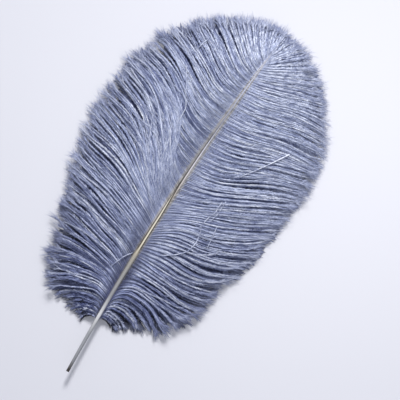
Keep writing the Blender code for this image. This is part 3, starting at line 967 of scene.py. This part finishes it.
def scraped_keratin():
    """Horn-like keratin of a scraped quill: a half-matt ivory stalk with tan flanks, on which shade is
    painted along the quill. Dye has gathered in the two fine grooves, which meet along the rachis, and in
    the cut end."""
    made, tree, shader, uv, u, v = started_material("scraped_quill_keratin")

    def on_map(t):
        return LUMEN_SHARE + (1 - LUMEN_SHARE) * t

    # Values along the shaft, each with its Map Range's inputs: from and to where, and the values there
    runs = {
        "leaning": (on_map(LEAN_IN[0]), on_map(LEAN_IN[1]), 0.0, GROOVES_LEAN / 360, "SMOOTHSTEP"),
        "upright": (on_map(LEAN_OUT[0]), on_map(LEAN_OUT[1]), 1.0, 0.0, "SMOOTHSTEP"),
        "apart": (on_map(GROOVES_CLOSE_FROM), on_map(GROOVES_MEET), GROOVES_APART / 360, 0.0, "SMOOTHSTEP"),
        # A groove's line stays about 1 mm wide, while the shaft's girth shrinks to less than half
        "girth": (on_map(0.45), on_map(0.8), 1.0, 0.42, "LINEAR"),
        "grooved": (on_map(GROOVES_FROM), on_map(GROOVES_FROM) + 0.02, 0.0, 1.0, "LINEAR"),
        "below": (on_map(0.36), on_map(0.48), 1.0, 0.0, "LINEAR"),
        "faint": (0.72, 0.9, 0.95, 0.1, "LINEAR"),
        "end": (LUMEN_SHARE + 0.006, LUMEN_SHARE + 0.03, 1.0, 0.0, "LINEAR"),
    }
    for name, (*inputs, run) in runs.items():
        runs[name] = node(tree, "MapRange", enumerate((v, *inputs)), interpolation_type=run)
    # Turns round the shaft: off its top, off the grooves' middle, and past and beside a groove
    off_top = node(tree, "Math", {FIRST: u, SECOND: 0.5}, operation="SUBTRACT")
    lean = node(tree, "Math", {FIRST: runs["leaning"], SECOND: runs["upright"]}, operation="MULTIPLY")
    off = node(tree, "Math", {FIRST: off_top, SECOND: lean}, operation="ADD")
    off = node(tree, "Math", {FIRST: off}, operation="ABSOLUTE")
    past = node(tree, "Math", {FIRST: off, SECOND: runs["apart"]}, operation="SUBTRACT")
    flank = node(tree, "MapRange", enumerate((past, -0.01, 0.02)))
    gap = node(tree, "Math", {FIRST: past}, operation="ABSOLUTE")
    gap = node(tree, "Math", {FIRST: gap, SECOND: runs["girth"]}, operation="MULTIPLY")
    dark = node(tree, "MapRange", enumerate((gap, 0.032, 0.07, 1.0, 0.0)))
    for run in (runs["grooved"], runs["faint"]):
        dark = node(tree, "Math", {FIRST: dark, SECOND: run}, operation="MULTIPLY")
    # Fine streaks of the grain, about 40 mm long and 0.2 mm wide
    stretched = node(tree, "Mapping", {"Vector": uv, "Scale": (60.0, 9.0, 1.0)})
    inputs = {"Vector": stretched, "Scale": 1.0, "Detail": 3.0}
    grain = node(tree, "TexNoise", inputs, noise_dimensions="2D")
    streak = node(tree, "MapRange", enumerate((grain, 0.35, 0.75, 0.0, 0.35)))
    # The grey quill with its pale ring, the tan rachis, and its lavender end
    stops = [(0.05, "6C6F76"), (0.09, "83868D"), (0.14, "8A8D93"), (0.195, "CBCCCE"), (0.25, "86888E")]
    stops += [(0.34, "84837F"), (0.42, "AEA188"), (0.55, "BEB4A8"), (0.64, "C2C0C8")]
    sides = node(tree, "ValToRGB", {0: v}, stops=stops + [(0.76, "BEC4D8"), (0.9, "C2C9E2")])
    stops = [(0.3, "A8A296"), (0.40, "CBC2AC"), (0.52, "D2CBBA"), (0.62, "AAA49E"), (0.74, "A4A8B8")]
    middle = node(tree, "ValToRGB", {0: v}, stops=stops + [(1.0, "BAC0D8")])
    body = node(tree, "Mix", {SHARE: flank, UNDER: middle, OVER: sides}, MIXED, data_type="RGBA")
    body = node(tree, "Mix", {SHARE: runs["grooved"], UNDER: sides, OVER: body}, MIXED, data_type="RGBA")
    # Painted shade on the quill's two flanks, which lie against the barbs
    rim = node(tree, "Math", {FIRST: off_top}, operation="ABSOLUTE")
    rim = node(tree, "MapRange", enumerate((rim, 0.13, 0.24, 0.0, 0.75)))
    rim = node(tree, "Math", {FIRST: rim, SECOND: runs["below"]}, operation="MULTIPLY")
    for share, over, how in (
        (streak, "8E8678", "MIX"),
        (rim, "6A6664", "MULTIPLY"),
        (dark, "231E1A", "MIX"),
        (runs["end"], "2B2622", "MIX"),
    ):
        inputs = {SHARE: share, UNDER: body, OVER: linear(over)}
        body = node(tree, "Mix", inputs, MIXED, data_type="RGBA", blend_type=how)
    tree.links.new(body, shader.inputs["Base Color"])
    bump = node(tree, "Bump", {"Strength": 0.25, "Distance": 0.0001, "Height": grain})
    tree.links.new(bump, shader.inputs["Normal"])
    shader.inputs["Roughness"].default_value = 0.42
    shader.inputs["IOR"].default_value = KERATIN_IOR
    return made


# The picture's frame, in pixels of the photograph, x right and y down
QUILL_END_PX = (68.7, 369.8)
SHAFT_TIP_PX = (272.6, 52.7)
FRAME_PX = 400
CAMERA_HEIGHT = 1.2
FILM_WIDTH = 36


def aim_camera():
    """Straight above, turned so that the shaft lies across the frame as it does in the photograph."""
    quill, tip = shaft_point(0.0)[:2], shaft_point(1.0)[:2]
    (x0, y0), (x1, y1) = QUILL_END_PX, SHAFT_TIP_PX
    turn = math.atan2(x1 - x0, y0 - y1) - math.atan2(tip[0] - quill[0], tip[1] - quill[1])
    pixel = math.hypot(*(tip - quill)) / math.hypot(x1 - x0, y1 - y0)
    right = np.array([math.cos(turn), math.sin(turn)])
    upward = np.array([-math.sin(turn), math.cos(turn)])
    centre = quill + pixel * ((FRAME_PX / 2 - x0) * right + (y0 - FRAME_PX / 2) * upward)
    data = bpy.data.cameras.new("camera")
    data.sensor_width = FILM_WIDTH
    data.lens = FILM_WIDTH * CAMERA_HEIGHT / (FRAME_PX * pixel)
    camera = placed("camera", data)
    camera.location = (centre[0], centre[1], CAMERA_HEIGHT)
    camera.rotation_euler = (0, 0, turn)
    bpy.context.scene.camera = camera
    return centre, right, upward


# The key light stands that way off the picture's middle, right and up, and the pool of light falls that
# far right of and above it. Powers are in watts
KEY_FROM = (0.2, 0.98)
KEY_DISTANCE = 6.0
KEY_ELEVATION = math.radians(36)
KEY_SIZE = 1.38
KEY_POWER = 465
POOL_HEIGHT = 2.4
POOL_RADIUS = 0.42
POOL_OFF = (0.14, 0.09)
POOL_SIZE = 0.3
POOL_POWER = 100
SKY_STRENGTH = 0.48
BOARD_REACH = 3


def set_studio(centre, right, upward):
    """A pale board, a soft key light from the top of the picture, a weak pool of light from above on
    its right half, and an even pale sky."""
    bm = bmesh.new()
    bmesh.ops.create_grid(bm, x_segments=1, y_segments=1, size=BOARD_REACH)
    mesh = bpy.data.meshes.new("table_board")
    bm.to_mesh(mesh)
    bm.free()
    board = bpy.data.materials.new("matt_white_board")
    board.use_nodes = True
    paint = board.node_tree.nodes["Principled BSDF"]
    paint.inputs["Base Color"].default_value = linear("CDCDD3")
    paint.inputs["Roughness"].default_value = 0.9
    mesh.materials.append(board)
    placed("table_board", mesh)
    world = bpy.data.worlds.new("studio")
    world.use_nodes = True
    sky = world.node_tree.nodes["Background"]
    sky.inputs[0].default_value = linear("E4E9F8")
    sky.inputs[1].default_value = SKY_STRENGTH
    bpy.context.scene.world = world
    towards = unit(KEY_FROM[0] * right + KEY_FROM[1] * upward) * math.cos(KEY_ELEVATION)
    data = bpy.data.lights.new("key", "AREA")
    data.size = KEY_SIZE
    data.energy = KEY_POWER
    lamp = placed("key", data)
    lamp.location = Vector((towards[0], towards[1], math.sin(KEY_ELEVATION))) * KEY_DISTANCE
    lamp.rotation_euler = (-lamp.location).to_track_quat("-Z", "Y").to_euler()
    data = bpy.data.lights.new("pool", "SPOT")
    data.energy = POOL_POWER
    data.shadow_soft_size = POOL_SIZE
    data.spot_size = 2 * math.atan(POOL_RADIUS / POOL_HEIGHT)
    data.spot_blend = 1.0
    pool = placed("pool", data)
    middle = centre + POOL_OFF[0] * right + POOL_OFF[1] * upward
    pool.location = (middle[0], middle[1], POOL_HEIGHT)


view = aim_camera()
set_studio(*view)
build_shaft(scraped_keratin())
down = dyed_down()
for which in BARBS:
    build_vane(which, down)
bpy.context.scene.view_settings.view_transform = "Standard"
